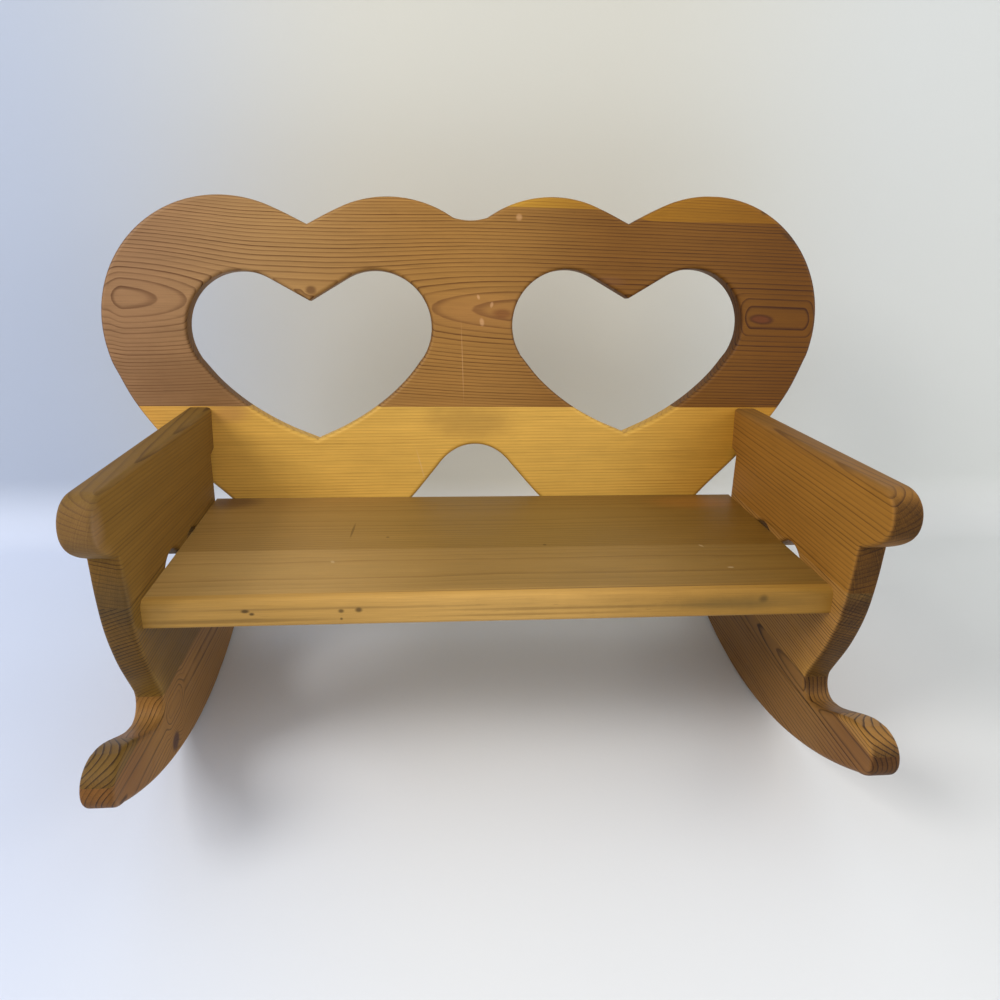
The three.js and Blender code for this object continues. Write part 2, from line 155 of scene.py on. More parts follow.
def turn_at(points, i):
    """The angle by which a closed loop of points turns at one of them."""
    before = points[i] - points[i - 1]
    after = points[(i + 1) % len(points)] - points[i]
    return abs(before.angle_signed(after))


def without_straight_points(points):
    """The points of a closed loop without those where it hardly turns."""
    return [p for i, p in enumerate(points) if turn_at(points, i) > straight_turn]


def smooth_spline(curve, points):
    """A closed curve through facet corners that keeps sharp corners and long straight runs."""
    spline = curve.splines.new("BEZIER")
    spline.bezier_points.add(len(points) - 1)
    spline.use_cyclic_u = True
    for i, p in enumerate(points):
        before = p - points[i - 1]
        after = points[(i + 1) % len(points)] - p
        back, ahead = before.length, after.length
        into, onward = before / back, after / ahead
        if turn_at(points, i) < corner_turn:
            if ahead > straight_ratio * back:
                into = onward
            elif back > straight_ratio * ahead:
                onward = into
            else:
                into = onward = (into * ahead + onward * back).normalized()
        knot = spline.bezier_points[i]
        knot.handle_left_type = knot.handle_right_type = "FREE"
        knot.co = p.to_3d()
        knot.handle_left = (p - into * back / 3).to_3d()
        knot.handle_right = (p + onward * ahead / 3).to_3d()


def straight_board(loops, low, high, rounding):
    """A board between two levels of its own depth, sawn to its outline and rounded over."""
    curve = bpy.data.curves.new("outline", "CURVE")
    curve.dimensions = "2D"
    curve.fill_mode = "BOTH"
    curve.resolution_u = curve_steps
    curve.extrude = (high - low) / 2 - rounding
    curve.bevel_depth = rounding
    curve.bevel_resolution = roundover_steps
    curve.offset = -rounding
    for points in loops:
        smooth_spline(curve, points)
    drawn = bpy.data.objects.new("outline", curve)
    mesh = bpy.data.meshes.new_from_object(drawn)
    board = bmesh.new()
    board.from_mesh(mesh)
    for data, owner in ((drawn, bpy.data.objects), (curve, bpy.data.curves),
                        (mesh, bpy.data.meshes)):
        owner.remove(data)
    board.transform(Matrix.Translation((0, 0, (low + high) / 2)))
    bmesh.ops.remove_doubles(board, verts=board.verts, dist=weld)
    bmesh.ops.recalc_face_normals(board, faces=board.faces)
    for side in (-1, 1):
        flats = [f for f in board.faces if f.normal.z * side > level_enough]
        bmesh.ops.inset_region(board, faces=flats, thickness=arris_ring, use_even_offset=False)
    return board


def saw_line(level, keep):
    """A cut along a glue line that keeps what is above it, with 1, or below it, with -1."""
    return (0, level + joint * keep, 0), (0, -keep, 0)


def sawn(board, *cuts):
    """A copy of a board without what lies beyond each cut, its sawn faces closed."""
    part = board.copy()
    for place, beyond in cuts:
        every = part.verts[:] + part.edges[:] + part.faces[:]
        cut = bmesh.ops.bisect_plane(part, geom=every, plane_co=place, plane_no=beyond,
                                     clear_outer=True)
        rim = [e for e in cut["geom_cut"] if isinstance(e, bmesh.types.BMEdge)]
        bmesh.ops.holes_fill(part, edges=rim)
    return part


def set_down(name, data):
    """A new object with some data, put in the scene."""
    made = bpy.data.objects.new(name, data)
    bpy.context.scene.collection.objects.link(made)
    return made


def piece(name, board, turn, material, slot, *nodes):
    """A piece's mesh set in its place, in its material, standing for its modelled nodes."""
    board.transform(turn.to_4x4().inverted())
    for vertex in board.verts:
        for i, (low, high) in enumerate(zip(*cad_box)):
            vertex.co[i] = min(max(vertex.co[i], low), high)
    for face in board.faces:
        face.smooth = True
    for edge in board.edges:
        edge.smooth = len(edge.link_faces) == 2 and edge.calc_face_angle() < crease
    mesh = bpy.data.meshes.new(name)
    board.to_mesh(mesh)
    board.free()
    mesh.materials.append(material)
    made = set_down(name, mesh)
    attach(made, "root")
    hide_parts(*nodes)


def light(colour):
    """A colour as the screen shows it, given as six hex digits, in the light it stands for."""
    parts = [int(colour[i:i + 2], 16) / 255 for i in (0, 2, 4)]
    return [c / 12.92 if c < 0.04045 else ((c + 0.055) / 1.055) ** 2.4 for c in parts] + [1]


class Wire:
    """A socket of a node tree that takes part in plain sums and can feed further nodes."""

    def __init__(self, tree, socket=None):
        self.tree = tree
        self.socket = socket

    def node(self, kind, settings, *values, output=0, named=()):
        """A new node with its settings and the values or wires of its first or named sockets."""
        made = self.tree.nodes.new(kind)
        for name, value in settings.items():
            setattr(made, name, value)
        sockets = [s for s in made.inputs if s.enabled]
        given = list(zip(sockets, values)) + [(made.inputs[n], named[n]) for n in named]
        for socket, value in given:
            if isinstance(value, Wire):
                self.tree.links.new(value.socket, socket)
            elif value is not None:
                socket.default_value = value
        if not made.outputs:
            return None
        named_output = isinstance(output, str)
        outputs = made.outputs if named_output else [s for s in made.outputs if s.enabled]
        return Wire(self.tree, outputs[output])

    def math(self, operation, *values):
        return self.node("ShaderNodeMath", {"operation": operation}, *values)

    def __add__(self, other):
        return self.math("ADD", self, other)

    def __radd__(self, other):
        return self.math("ADD", other, self)

    def __sub__(self, other):
        return self.math("SUBTRACT", self, other)

    def __rsub__(self, other):
        return self.math("SUBTRACT", other, self)

    def __mul__(self, other):
        return self.math("MULTIPLY", self, other)

    def __rmul__(self, other):
        return self.math("MULTIPLY", other, self)

    def __truediv__(self, other):
        return self.math("DIVIDE", self, other)

    def __rtruediv__(self, other):
        return self.math("DIVIDE", other, self)

    def __pow__(self, other):
        return self.math("POWER", self, other)

    def __rpow__(self, other):
        return self.math("POWER", other, self)

    def __abs__(self):
        return self.math("ABSOLUTE", self)

    def millimetres(self, origin=(0, 0, 0), turn=Matrix.Identity(3)):
        """The place on the object in millimetres, from an origin and along turned axes."""
        metre = 1000
        place = self.node("ShaderNodeTexCoord", {}, output="Object")
        return self.node("ShaderNodeMapping", {"vector_type": "POINT"}, place,
                         Vector(origin) * -metre, turn.to_euler(), (metre, metre, metre))

    def axis(self, number):
        return self.node("ShaderNodeSeparateXYZ", {}, self, output=number)

    def within(self, low, high):
        """Rises smoothly from 0 to 1 as this goes from low to high, or falls if high is less."""
        return self.node("ShaderNodeMapRange", {"interpolation_type": "SMOOTHSTEP"},
                         self, low, high, 0.0, 1.0)

    def window(self, start, full, fade, gone):
        """Rises smoothly from start to full and falls again from fade to gone."""
        return self.within(start, full) * (1 - self.within(fade, gone))

    def noise(self, stretch, shift, detail=2.0, rough=0.5):
        """Soft noise between -1 and 1 at this place, with so many waves to the millimetre."""
        placed = self.node("ShaderNodeMapping", {}, self, (shift, shift, shift), (0, 0, 0), stretch)
        return (self.node("ShaderNodeTexNoise", {}, placed, 1.0, detail, rough) - 0.5) * 2

    def mark(self, along, up, length, height, tilt=0.0, deep=3.0, sunk=0.0):
        """Distance of this place from the middle of an oval mark, 1 on its rim."""
        placed = self.node("ShaderNodeMapping", {"vector_type": "TEXTURE"}, self,
                           (along, up, -sunk), (0, 0, math.radians(tilt)), (length, height, deep))
        return self.node("ShaderNodeVectorMath", {"operation": "LENGTH"}, placed)

    def mixed(self, first, second):
        """The second colour laid over the first one by this share."""
        settings = {"data_type": "RGBA", "blend_type": "MIX", "clamp_factor": True}
        return self.node("ShaderNodeMix", settings, self, first, second)

    def stained(self, tint):
        """This colour multiplied by another one, which darkens it as a clear stain does; it also
        paints light and shade.
        """
        settings = {"data_type": "RGBA", "blend_type": "MULTIPLY"}
        return self.node("ShaderNodeMix", settings, 1.0, self, tint)

    def ripple(self, detail, rough=None):
        """Soft noise between 0 and 1 that changes with this number alone."""
        return self.node("ShaderNodeTexNoise", {"noise_dimensions": "1D"}, self, 1.0, detail, rough)


def blank_material(name):
    """A new material without nodes, and a wire to make them from."""
    material = bpy.data.materials.new(name)
    material.use_nodes = True
    material.node_tree.nodes.clear()
    return material, Wire(material.node_tree)


# How pine varies: waves to the millimetre along, up and out of a board, a shift that keeps each
# kind apart from the rest, and how fine and how rough it is.
wood_noises = {
    "sway_up": ((0.004, 0.014, 0.014), 0.0, 2.0, 0.5),
    "sway_out": ((0.005, 0.016, 0.016), 3.7, 2.0, 0.5),
    "ragged": ((0.05, 0.5, 0.5), 1.3, 2.0, 0.5),
    "swell": ((0.012, 0.06, 0.06), 9.1, 1.0, 0.5),
    "faint": ((0.02, 0.1, 0.1), 4.4, 2.0, 0.5),
    "fine": ((0.008, 0.9, 0.9), 5.9, 1.0, 0.5),
    "fibre": ((0.03, 1.6, 1.6), 5.1, 2.0, 0.6),
    "duct": ((0.16, 2.6, 2.6), 7.7, 0.0, 0.5),
    "streak": ((0.006, 0.16, 0.16), 8.3, 3.0, 0.6),
    "cloud": ((0.010, 0.024, 0.024), 2.2, 3.0, 0.6),
    "wear": ((0.05, 0.06, 0.06), 6.6, 4.0, 0.65),
    "sap_edge": ((0.01, 0.06, 0.06), 6.0, 2.0, 0.5),
    "pores": ((0.9, 0.9, 0.9), 0.0, 2.0, 0.5),
}
end_grain = (0.3, 0.95)
flat_face = (0.55, 0.98)
eye_depth = 60.0
sway_upward = 1.6
ragged_by, swell_by = 0.22, 0.5
crowd_wave, crowd_by = 0.11, 0.35
late_full = 0.92
late_fall = (0.94, 1.0)
ring_strength, faint_by = 0.8, 0.35
faintest_ring = 0.3
edge_line = 0.2
early_slope, fine_tone = 0.16, 0.13
sap_tone, sap_blur = 0.75, 0.5
duct_edge = (0.52, 0.8)
mark_wear = 0.4
rays_round, rays_ragged, rays_detail, rays_rough = 130, 3, 3.0, 0.7
rays_by, end_wear, edge_shade = 0.5, 0.15, 0.14
end_stain, end_stained = "f6e6b0", 0.7
shade_by = {"fibre": 0.2, "streak": 0.11, "cloud": 0.09, "wear": 0.06, "duct": -0.2}
relief_by = {"fibre": 0.3, "duct": -0.3, "wear": 0.25}
dull_by = {"fibre": 0.05, "wear": 0.06}
ring_relief, pore_relief, end_dull = 0.5, 0.5, 0.14
relief_strength, relief_depth = 0.3, 0.0004
varnish_shine = 0.2


def pine(name, turn, origin, pith, rings, early, late, seed, hills=(), eyes=(), sap=None,
         tints=(), marks=(), line=0.95, sharp=0.4, wander=1.2, end_dark=0.3, gloss=0.48):
    """Varnished pine, solid through, with its rings round a pith that runs along the board.

    Places are millimetres along and up the board from the origin. pith is that line's height, its
    rise to the millimetre and how far it lies in front of the face. rings is the first ring's count
    to the millimetre, the power by which they crowd outward and a part of a ring to begin with.
    hills take the pith away from start to full and back from fade to gone, by an amount, where the
    board shows wide figure. eyes are ovals that close the rings round a knot: place, half sizes and
    by how much. sap is the height above which the wood is golden, its steps along the board and its
    two colours. The tones along the board change it from one place along it to another, partly the
    wood's own colour and partly painted light and shade. marks are ovals: place, half sizes, tilt,
    colour, strength, softness, depth and, if not 0, how far behind the face.
    """
    material, start = blank_material(name)
    local = start.millimetres(origin, turn)
    along, up, out = local.axis(0), local.axis(1), local.axis(2)
    normal = start.node("ShaderNodeTexCoord", {}, output="Normal")
    faced = start.node("ShaderNodeMapping", {"vector_type": "POINT"}, normal, (0, 0, 0),
                       turn.to_euler(), (1, 1, 1))
    end = abs(faced.axis(0)).within(*end_grain)
    edge = 1 - abs(faced.axis(2)).within(*flat_face)

    def vary(kind):
        """One of the noises of pine, shifted by this board's seed."""
        stretch, shift, detail, rough = wood_noises[kind]
        return local.noise(stretch, seed + shift, detail, rough)

    def weighed(first, weights):
        """The first value with each kind of grain added by its weight."""
        return sum((grain[kind] * weight for kind, weight in weights.items()), first)

    height, rise, away = pith
    pith_up = up - height - along * rise + vary("sway_up") * (wander * sway_upward)
    pith_out = out - away + vary("sway_out") * wander
    for *window, amount in hills:
        pith_out = pith_out - along.window(*window) * amount
    radius = (pith_up * pith_up + pith_out * pith_out) ** 0.5
    for *oval, amount in eyes:
        radius = radius + (1 - local.mark(*oval, deep=eye_depth).within(0, 1)) * amount
    ragged = vary("ragged") * ragged_by
    radius = radius + ragged + vary("swell") * swell_by
    count, power, offset = rings
    phase = radius ** power * count + offset
    phase = phase + (radius * crowd_wave + seed).ripple(0.0) * crowd_by
    ring, share = phase.math("FLOOR", phase), phase.math("FRACT", phase)
    chance = start.node("ShaderNodeTexWhiteNoise", {"noise_dimensions": "1D"}, ring + seed)
    band = share.within(1 - sharp, late_full) * (1 - share.within(*late_fall))
    band = band * (faintest_ring + chance * (1 - faintest_ring))
    band = band * (ring_strength + vary("faint") * faint_by) * (1 + edge * edge_line)
    tone = band * line + share * early_slope + vary("fine") * fine_tone
    grain = {kind: vary(kind) for kind in shade_by}
    grain["duct"] = grain["duct"].within(*duct_edge)
    wear = grain["wear"]

    colour = tone.mixed(light(early), light(late))
    if sap:
        level, steps, sap_early, sap_late = sap
        over = up - level + vary("sap_edge")
        for low, high, drop in steps:
            over = over - along.within(low, high) * drop
        golden = (tone * sap_tone).mixed(light(sap_early), light(sap_late))
        colour = over.within(-sap_blur, sap_blur).mixed(colour, golden)
    # Tones along the board: partly the wood's own colour, partly painted light and shade.
    for low, high, tint in tints:
        colour = along.within(low, high).mixed(colour, colour.stained(light(tint)))
    for along_at, up_at, length, tall, tilt, tint, strength, soft, deep, *sunk in marks:
        rim = local.mark(along_at, up_at, length, tall, tilt, deep, *sunk)
        rim = rim + wear * (soft * mark_wear)
        colour = ((1 - rim.within(1 - soft, 1 + soft)) * strength).mixed(colour, light(tint))
    colour = (end * end_stained).mixed(colour, colour.stained(light(end_stain)))
    rays = pith_up.math("ARCTAN2", pith_up, pith_out) * rays_round + ragged * rays_ragged
    rays = rays.ripple(rays_detail, rays_rough) - 0.5
    # End faces darken with the end grain's own darkness and, where a board is given more, with
    # painted shade.
    shade = weighed(1, shade_by) - end * (end_dark + rays * rays_by - wear * end_wear)
    shade = shade - edge * edge_shade
    colour = colour.stained(start.node("ShaderNodeCombineColor", {}, shade, shade, shade))

    relief = weighed(tone * ring_relief, relief_by) + end * vary("pores") * pore_relief
    bumped = start.node("ShaderNodeBump", {}, relief_strength, relief_depth, 1.0, relief)
    rough = weighed(gloss, dull_by) + end * end_dull
    surface = start.node("ShaderNodeBsdfPrincipled", {}, named={
        "Base Color": colour, "Roughness": rough, "Normal": bumped,
        "Specular IOR Level": varnish_shine})
    start.node("ShaderNodeOutputMaterial", {}, surface)
    return material


back_nodes = ["back_upper_board", "back_lower_board"]
back_face, back_out = face_toward("back_upper_board", (0, -1, 0))
back_turn = axes((1, 0, 0), back_out)
back_level = back_out.dot(back_face)
back_low, back_high = reach(back_nodes, back_turn)
back_glue = (reach(back_nodes[:1], back_turn)[0].y + reach(back_nodes[1:], back_turn)[1].y) / 2
back_loops = outline(back_nodes, back_turn, (back_low.z + back_high.z) / 2, [back_glue])
back = straight_board(back_loops, back_low.z, back_high.z, roundover)

back_origin = (0, back_glue, back_level)
upper_pine = pine(
    "upper_back_pine", back_turn, back_origin, pith=(80.6, -0.0183, 6.7),
    rings=(0.0408, 1.454, 0.32), early="aa824e", late="5b3414", seed=1.7, wander=0.7,
    hills=[(-290, -170, -120, 60, 20), (-310, -292, -290, -276, 7)],
    eyes=[(222, 76, 18, 24, 12), (298, 76, 16, 24, 12), (-130, 93, 9, 7, 3)],
    sap=(200.5, [(-5, 25, -40), (110, 150, -8)], "cda246", "94662a"),
    # Along the back the tones are partly the wood's own and partly painted light: a pale bluish
    # sheen at the left end and painted shade that darkens it toward the right end.
    tints=[(-130, -280, "e4e0fa"), (-200, -20, "f4e7bd"), (0, 130, "c8b892"), (160, 290, "dacc70")],
    marks=[(-262, 78, 34, 20, 0, "98704a", 0.42, 0.8, 60),
           (10, 78, 46, 13, 0, "a87540", 0.45, 0.8, 60),
           (246.5, 75, 10.5, 4.2, -4, "45200c", 0.8, 0.25, 60),
           (246, 75, 7.5, 2.6, -4, "6e3a18", 0.7, 0.3, 60),
           (25, 77, 8, 3.6, -3, "6b3517", 0.55, 0.5, 60),
           (-130, 93.5, 4, 3.2, 0, "4f2a12", 0.6, 0.4, 60),
           (-8, 37, 0.35, 28, 2, "c79a66", 0.5, 0.5, 3),
           (8, 70, 1.6, 2.8, 10, "d9a877", 0.55, 0.5, 3),
           (16, 84, 1.2, 2.2, -15, "d9a877", 0.5, 0.5, 3),
           (5, 90, 1.0, 1.8, 20, "d9a877", 0.5, 0.5, 3),
           (37.5, 153, 2.2, 2.4, 0, "cf9e6a", 0.6, 0.5, 3),
           (242, 161.5, 3, 2, 0, "3b2410", 0.6, 0.5, 6),
           (267, 141, 9, 2.2, -28, "3b2410", 0.6, 0.5, 6),
           (112, 104, 13, 4, 0, "7a5132", 0.4, 0.6, 6),
           (-215, 16, 75, 34, 0, "76502c", 0.6, 0.9, 60)])
lower_pine = pine(
    "lower_back_pine", back_turn, back_origin, pith=(-300, 0.01, -70), rings=(0.40, 1.0, 0.0),
    early="dcae50", late="a4712a", seed=4.1, wander=1.0, line=0.5,
    # Along the lower board the tones are partly the wood's own and partly painted light: a paler,
    # bluer sheen at the left end and painted shade toward the right end.
    tints=[(-120, -290, "f0e2d8"), (90, 270, "dcc890")],
    marks=[(0, -13, 34, 13, 0, "85602e", 0.35, 0.6, 6),
           (-200, -6, 14, 7, 0, "9c6a45", 0.4, 0.7, 6),
           (-43, -51, 0.4, 14, 15, "dcb37c", 0.5, 0.5, 3)])
upper_back = sawn(back, saw_line(back_glue, 1))
lower_back = sawn(back, saw_line(back_glue, -1))
piece("upper_back", upper_back, back_turn, upper_pine, "pine_upper_back", back_nodes[0])
piece("lower_back", lower_back, back_turn, lower_pine, "pine_lower_back", back_nodes[1])
back.free()


# The sides: each is three pine boards glued edge to edge, the grain running front to back, and
# sawn to arm, leg and rocker in one. The saw leaves a strip of the leg board on top of each foot.
# A small heart is cut through, most of it below the seat. Screws hold the sides to seat and back.

seat_top, seat_out = face_toward("seat_rear_board", (0, 0, 1))
side_turn = axes(seat_out.cross(Vector((1, 0, 0))), (1, 0, 0))
face_gap = 0.0004    # a point this near the face of the back lies on it
arm_run_on = 0.012   # the arm is rounded past the back and then sawn off against it
section_share = 0.3  # how far through a side its outline is taken, clear of the screws
side_parts = ["arm_board", "leg_board", "rocker_board", "toe_strip", "heel_strip"]
side_looks = {
    "left": {
        "arm": dict(pith=(150, -0.06, 22), rings=(0.37, 1.0, 0.2), early="805f28", late="50361a",
                    seed=3.3, line=0.8, end_dark=0.04, gloss=0.6,
                    marks=[(-20, 8, 8, 16, 0, "4c4438", 0.45, 0.7, 60),
                           (-44, 30, 9, 12, 0, "7d6a4c", 0.35, 0.8, 60),
                           (-40, 46, 10, 5, 0, "9a7a4c", 0.4, 0.8, 60),
                           # The last mark, a greyish pink patch high on the nose, is a painted
                           # sheen.
                           (-46, 64, 8, 12, 0, "977a60", 0.45, 0.9, 60)]),
        "leg": dict(pith=(-150, 0.02, 40), rings=(0.40, 1.0, 0.1), early="795a26", late="3e290f",
                    seed=6.2, line=1.5, end_dark=0.12,
                    marks=[(0, -74, 22, 16, 0, "a8843e", 0.4, 0.6, 60),
                           (-20, 8, 8, 16, 0, "4c4438", 0.45, 0.7, 60)]),
        "rocker": dict(pith=(-97, 0.0, 8), rings=(0.37, 1.0, 0.3), early="996f3a",
                       late="4f351b", seed=9.4, line=0.95, end_dark=0.02,
                       hills=[(-150, -20, 15, 28, 5), (46, 62, 300, 400, 6)],
                       # The front part of the rocker is darker: partly its own tone and partly
                       # painted shade.
                       tints=[(10, -50, "dbd0cc")],
                       eyes=[(31, -122, 17, 13, 6)],
                       marks=[(31, -122, 7, 5.5, 10, "38202a", 0.75, 0.35, 60),
                              (76, -94, 15, 8, 0, "a0743c", 0.4, 0.6, 12)]),
    },
    # On the right the end faces are darkened much more than on the left: partly the end grain's own
    # darkness and partly painted shade, as this side lies away from the light.
    "right": {
        "arm": dict(pith=(128, 0.02, 30), rings=(0.30, 1.0, 0.3), early="9b6b28", late="5b3814",
                    seed=2.6, line=0.85, end_dark=0.55, gloss=0.6,
                    marks=[(80, 81, 130, 6, -1.6, "75522a", 0.55, 0.8, 60),
                           (-47, 44, 4, 2.6, 60, "d0ab84", 0.6, 0.7, 4),
                           (-46, 30, 4, 14, 8, "5c5a2e", 0.4, 0.6, 60),
                           (-40, 20, 8, 4, 0, "4a4626", 0.4, 0.7, 60)]),
        "leg": dict(pith=(-170, 0.07, 40), rings=(0.42, 1.0, 0.1), early="a47638", late="4c2f12",
                    seed=7.9, line=1.3, end_dark=0.58,
                    marks=[(6, -74, 22, 13, 0, "b08238", 0.45, 0.6, 60),
                           (-19, -8, 7, 7, 0, "4c2c10", 0.5, 0.7, 60),
                           (-20, 5, 4, 8, 0, "a08a48", 0.4, 0.7, 60)]),
        "rocker": dict(pith=(-84, 0.03, 10), rings=(0.34, 1.0, 0.92), early="8b622f",
                       late="432a12", seed=5.8, line=1.25, end_dark=0.45,
                       # The front part of the rocker is darker: partly its own tone and partly
                       # painted shade.
                       tints=[(10, -50, "e8dcd4")],
                       hills=[(30, 150, 300, 400, 6)]),
    },
}


def sawn_off_pieces(board):
    """The pieces that a sawn board has fallen into, front to back."""
    board.faces.index_update()
    unseen, islands = set(board.faces), []
    while unseen:
        todo, found = [unseen.pop()], []
        while todo:
            face = todo.pop()
            found.append(face.index)
            near = {f for e in face.edges for f in e.link_faces} & unseen
            unseen -= near
            todo.extend(near)
        island = board.copy()
        island.faces.ensure_lookup_table()
        gone = [island.faces[i] for i in set(range(len(island.faces))) - set(found)]
        bmesh.ops.delete(island, geom=gone, context="FACES")
        islands.append(island)
    board.free()
    return sorted(islands, key=lambda b: min(v.co.x for v in b.verts))


for side, inner in (("left", 1), ("right", -1)):
    names = {part: f"{side}_{part}" for part in side_parts}
    low, high = reach(names.values(), side_turn)
    spans = {part: reach([name], side_turn) for part, name in names.items()}
    upper_glue = (spans["arm_board"][0].y + spans["leg_board"][1].y) / 2
    lower_glue = (spans["rocker_board"][1].y + spans["leg_board"][0].y) / 2
    depth = low.z + (high.z - low.z) * section_share
    loops = outline(names.values(), side_turn, depth, [upper_glue, lower_glue])
    for p in sum(loops, []):
        gap = back_out.dot(side_turn.inverted() @ Vector((p.x, p.y, depth))) - back_level
        if abs(gap) < face_gap:
            p.x += arm_run_on
    board = straight_board(loops, low.z, high.z, roundover)
    at_back = (side_turn @ (back_out * (back_level + joint)), side_turn @ -back_out)
    seat_front = reach(["seat_front_board"], side_turn)
    origin = (seat_front[0].x, seat_front[1].y, high.z if inner > 0 else low.z)
    woods = {}
    for part, look in side_looks[side].items():
        height, rise, away = look["pith"]
        look = look | {"pith": (height, rise, away * inner)}
        hills = [(*h[:4], h[4] * inner) for h in look.get("hills", ())]
        woods[part] = pine(f"{side}_{part}_pine", side_turn, origin, **look | {"hills": hills})
    arm = sawn(board, saw_line(upper_glue, 1), at_back)
    piece(f"{side}_arm", arm, side_turn, woods["arm"], "pine_side", names["arm_board"])
    rocker = sawn(board, saw_line(lower_glue, -1))
    piece(f"{side}_rocker", rocker, side_turn, woods["rocker"], "pine_rocker",
          names["rocker_board"])
    leg_board = sawn(board, saw_line(upper_glue, -1), saw_line(lower_glue, 1))
    toe, leg, heel = sawn_off_pieces(leg_board)
    piece(f"{side}_toe", toe, side_turn, woods["leg"], "pine_rocker", names["toe_strip"])
    piece(f"{side}_leg", leg, side_turn, woods["leg"], "pine_side", names["leg_board"])
    piece(f"{side}_heel", heel, side_turn, woods["leg"], "pine_rocker", names["heel_strip"])
    board.free()


# The seat: two pine boards glued edge to edge, the front edge rounded over, the ends butted
# square against the sides, and the rear edge planed to the slope of the back.

seat_turn = axes((1, 0, 0), seat_out)
seat_level = seat_out.dot(seat_top)
seat_nodes = {"front": "seat_front_board", "rear": "seat_rear_board"}
seat_spans = {k: reach([n], seat_turn) for k, n in seat_nodes.items()}
seat_glue = (seat_spans["front"][1].y + seat_spans["rear"][0].y) / 2
seat_origin = (0, seat_spans["front"][0].y, seat_level)
# Along each seat board the tones darken it toward the right end: partly the wood's own colour and
# partly painted shade.
seat_looks = {
    "front": dict(pith=(45, 0.01, -55), rings=(0.40, 1.0, 0.0), early="bb9556", late="825a2a",
                  seed=2.9, line=0.3, tints=[(-170, 0, "cdcabe"), (60, 230, "e6debe")],
                  marks=[(0, 0, 400, 9.5, 0, "bb8d40", 0.78, 0.06, 60),
                         (10, 0, 120, 9.5, 0, "dcae62", 0.5, 0.8, 60),
                         (205, 0, 110, 9.5, 0, "946a24", 0.65, 0.8, 60),
                         (50, 9.2, 150, 0.7, 0.2, "5f4320", 0.6, 0.5, 3),
                         (-165, 0, 60, 3, 0, "80602c", 0.6, 0.7, 1.3, 14),
                         (-110, 0, 100, 3, 0, "8d6a34", 0.5, 0.7, 0.8, 6.5),
                         (70, 0, 90, 3, 0, "80602e", 0.5, 0.7, 1.0, 9.5),
                         (30, 0, 60, 3, 0, "84622e", 0.5, 0.7, 0.8, 13.5),
                         (160, 0, 36, 3, 0, "5f4c24", 0.5, 0.9, 4.0, 9),
                         (-152, 0, 2.2, 4, 0, "3a2812", 0.8, 0.6, 1.1, 7.5),
                         (-148, 0, 1.4, 4, 0, "3a2812", 0.8, 0.6, 0.9, 9.5),
                         (-93, 0, 1.6, 4, 0, "3a2812", 0.7, 0.6, 1.2, 8.5),
                         (-82, 0, 2.0, 4, 0, "3a2812", 0.75, 0.6, 1.5, 8),
                         (-93, 0, 0.8, 4, 0, "3a2812", 0.7, 0.6, 0.8, 14),
                         (182, 0, 2.6, 4, 0, "4a3a1c", 0.6, 0.7, 2.2, 6),
                         (-104, 58, 1.2, 2, 20, "cbb083", 0.5, 0.5, 3),
                         (173, 38, 2, 1, 0, "cbb083", 0.5, 0.5, 3),
                         (165, 78, 1, 2, 30, "cbb083", 0.5, 0.5, 3)]),
    "rear": dict(pith=(150, 0.01, -60), rings=(0.40, 1.0, 0.0), early="a78246", late="73501f",
                 seed=8.8, line=0.35, tints=[(-170, 0, "d4d3c1"), (60, 230, "eadcb4")],
                 # The first mark, a dark patch in the rear-left corner where seat, back and left
                 # side meet, is painted shade.
                 marks=[(-198, 186, 18, 15, 0, "55392b", 0.6, 0.6, 4),
                        (-95, 118, 0.8, 13, -3, "4c3418", 0.55, 0.5, 3),
                        (-68, 103, 1.2, 1.2, 0, "40290f", 0.6, 0.5, 3),
                        (48, 84, 1.2, 1.2, 0, "40290f", 0.6, 0.5, 3),
                        (190, 176, 32, 15, 0, "a0692a", 0.45, 0.6, 6)]),
}
seat_middle = (seat_spans["front"][0].x + seat_spans["front"][1].x) / 2
for place, node in seat_nodes.items():
    loops = outline([node], side_turn, seat_middle, [])
    for p in sum(loops, []):
        if abs(p.x - seat_glue) < glue_gap:
            p.x = seat_glue + (joint if place == "rear" else -joint)
    board = straight_board(loops, seat_spans[place][0].x, seat_spans[place][1].x, 0)
    wood = pine(f"seat_{place}_pine", seat_turn, seat_origin, **seat_looks[place])
    slot = "pine_seat_front" if place == "front" else "pine_seat"
    piece(f"seat_{place}", board, side_turn, wood, slot, node)


# The fastenings: steel screws hold each side to the seat and the back to the seat and the arms,
# sunk deep, and a round wooden plug is glued over every head and sanded nearly flush. All screws
# are alike and so are the plugs, so each kind is shaped once and set on the points where they sit.

head_height = 2.6
screw_core = 1.35
thread_depth = 0.75
thread_pitch = 2.2
shank_share = 0.3
thread_rise, thread_runout = 1, 3
tip_length = 6
recess_width = 1.0
recess_depth = 1.8
recess_reach = 1.2
screw_sides, screw_rings = 20, 110
zinc_rough, dull_rough, scratch_rough = 0.35, 0.1, 0.08
scratch_strength, scratch_depth = 0.2, 0.0002
millimetre = 0.001

fastener_names = [f"{side}_{place}" for side in ("left", "right")
                  for place in ("front_side", "rear_side", "inner_back", "outer_back", "arm_back")]
screw_nodes = [f"{name}_screw" for name in fastener_names]
plug_nodes = [f"{name}_plug" for name in fastener_names]


def middle(node):
    """The middle of the box of a modelled node."""
    low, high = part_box(node)
    return (Vector(low) + Vector(high)) / 2


